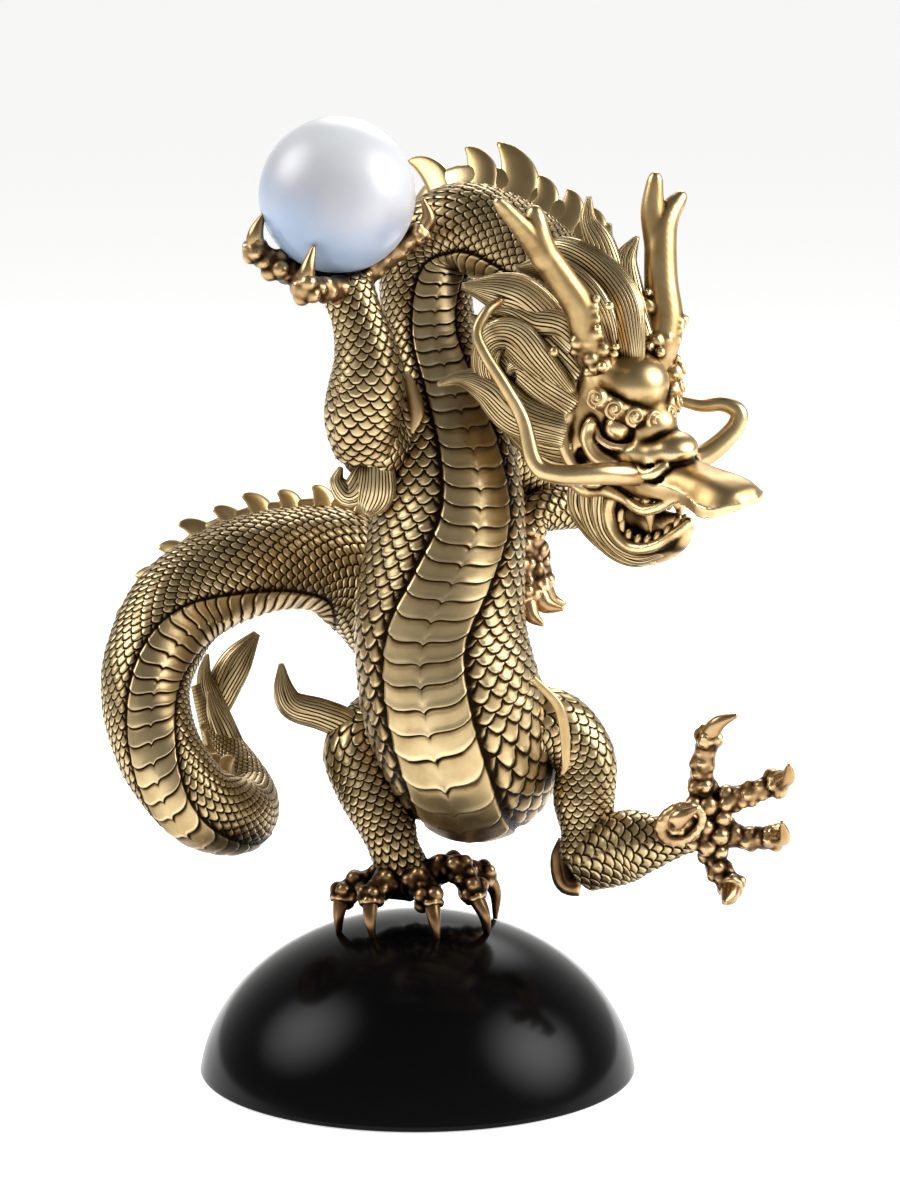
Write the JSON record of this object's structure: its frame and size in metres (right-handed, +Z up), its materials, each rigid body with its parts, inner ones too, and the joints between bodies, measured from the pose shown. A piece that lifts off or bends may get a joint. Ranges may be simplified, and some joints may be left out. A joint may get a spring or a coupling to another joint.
{
  "type": "dragon sculpture",
  "caption": "Cast bronze dragon standing on one foot on a glossy black half-dome plinth, its tail curled and one hand raised to hold a large white pearl.",
  "frame": {"origin": "centre of the plinth's flat underside", "axes": "+Z up; -Y is the side the belly and the open mouth are seen from; +X is the side of the kicked foot"},
  "size_m": [0.2342, 0.1565, 0.3304],
  "materials": {
    "bronze": "antique satin, pale on the high points and dark brown in the recesses",
    "pearl": "pearly satin white with faint blue and pink",
    "plinth": "polished black lacquer"
  },
  "bodies": {
    "root": {"plinth": "plinth", "dragon": "bronze", "pearl": "pearl"}
  },
  "joints": []
}
